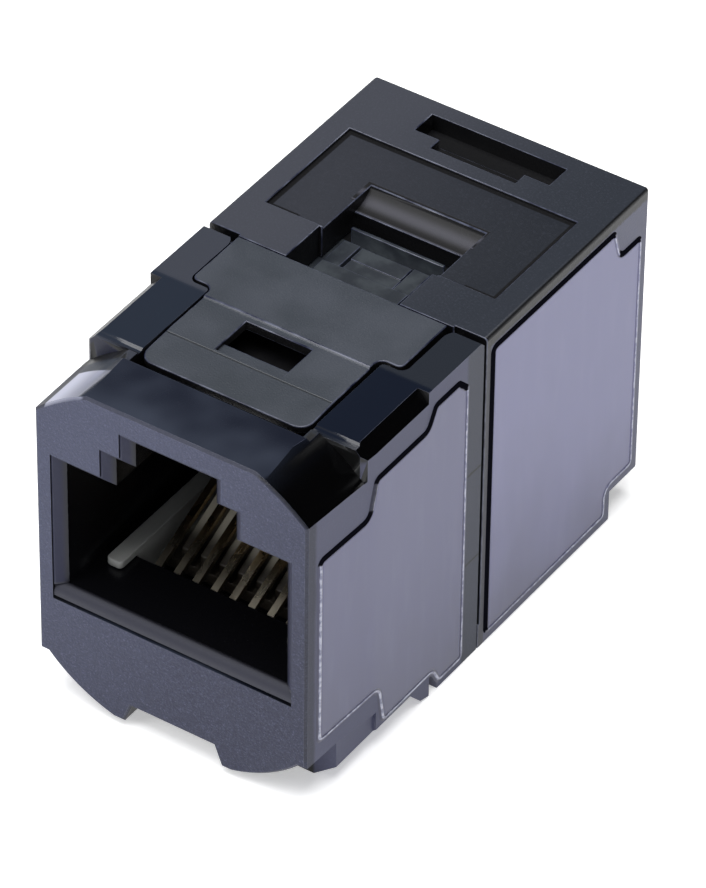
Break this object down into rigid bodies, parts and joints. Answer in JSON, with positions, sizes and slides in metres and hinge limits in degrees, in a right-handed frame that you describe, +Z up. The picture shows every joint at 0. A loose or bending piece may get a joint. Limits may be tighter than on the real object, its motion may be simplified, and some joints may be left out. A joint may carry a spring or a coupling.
{
  "type": "ethernet keystone coupler",
  "caption": "Black in-line coupler with a stepped plug socket at each end, sprung contacts, a flexing snap latch on top and a hook below.",
  "frame": {"origin": "middle of the footprint, on the plane of the underside", "axes": "+Y from the front socket to the rear socket, +Z up to the latch"},
  "size_m": [0.0152, 0.0272, 0.0183],
  "materials": {
    "housing": "fine texture",
    "insert": "smooth",
    "clip": "satin",
    "comb": "satin",
    "board": "lacquered",
    "film": "satin film",
    "contact": "gold plated"
  },
  "bodies": {
    "shell": {"front_housing": "housing", "rear_housing": "housing", "front_insert": "insert", "rear_insert": "insert", "centre_clip": "clip", "front_comb": "comb", "rear_comb": "comb", "circuit_board": "board", "front_left_film": "film", "front_right_film": "film", "rear_left_film": "film", "rear_right_film": "film"},
    "latch": {"keystone_latch": "housing"},
    "front_contacts": {"front_contact_1": "contact", "front_contact_2": "contact", "front_contact_3": "contact", "front_contact_4": "contact", "front_contact_5": "contact", "front_contact_6": "contact", "front_contact_7": "contact", "front_contact_8": "contact"},
    "rear_contacts": {"rear_contact_1": "contact", "rear_contact_2": "contact", "rear_contact_3": "contact", "rear_contact_4": "contact", "rear_contact_5": "contact", "rear_contact_6": "contact", "rear_contact_7": "contact", "rear_contact_8": "contact"}
  },
  "joints": [
    {"name": "latch_flex", "type": "hinge", "parent": "shell", "child": "latch", "pos_m": [0, -0.00006, 0.01715], "axis": [1, 0, 0], "range_deg": [0, 6], "stiffness_Nm_per_rad": 0.3},
    {"name": "front_contacts_flex", "type": "hinge", "parent": "shell", "child": "front_contacts", "pos_m": [0, -0.00056, 0.00945], "axis": [1, 0, 0], "range_deg": [0, 4], "stiffness_Nm_per_rad": 0.4},
    {"name": "rear_contacts_flex", "type": "hinge", "parent": "shell", "child": "rear_contacts", "pos_m": [0, 0.00056, 0.00945], "axis": [-1, 0, 0], "range_deg": [0, 4], "stiffness_Nm_per_rad": 0.4}
  ]
}
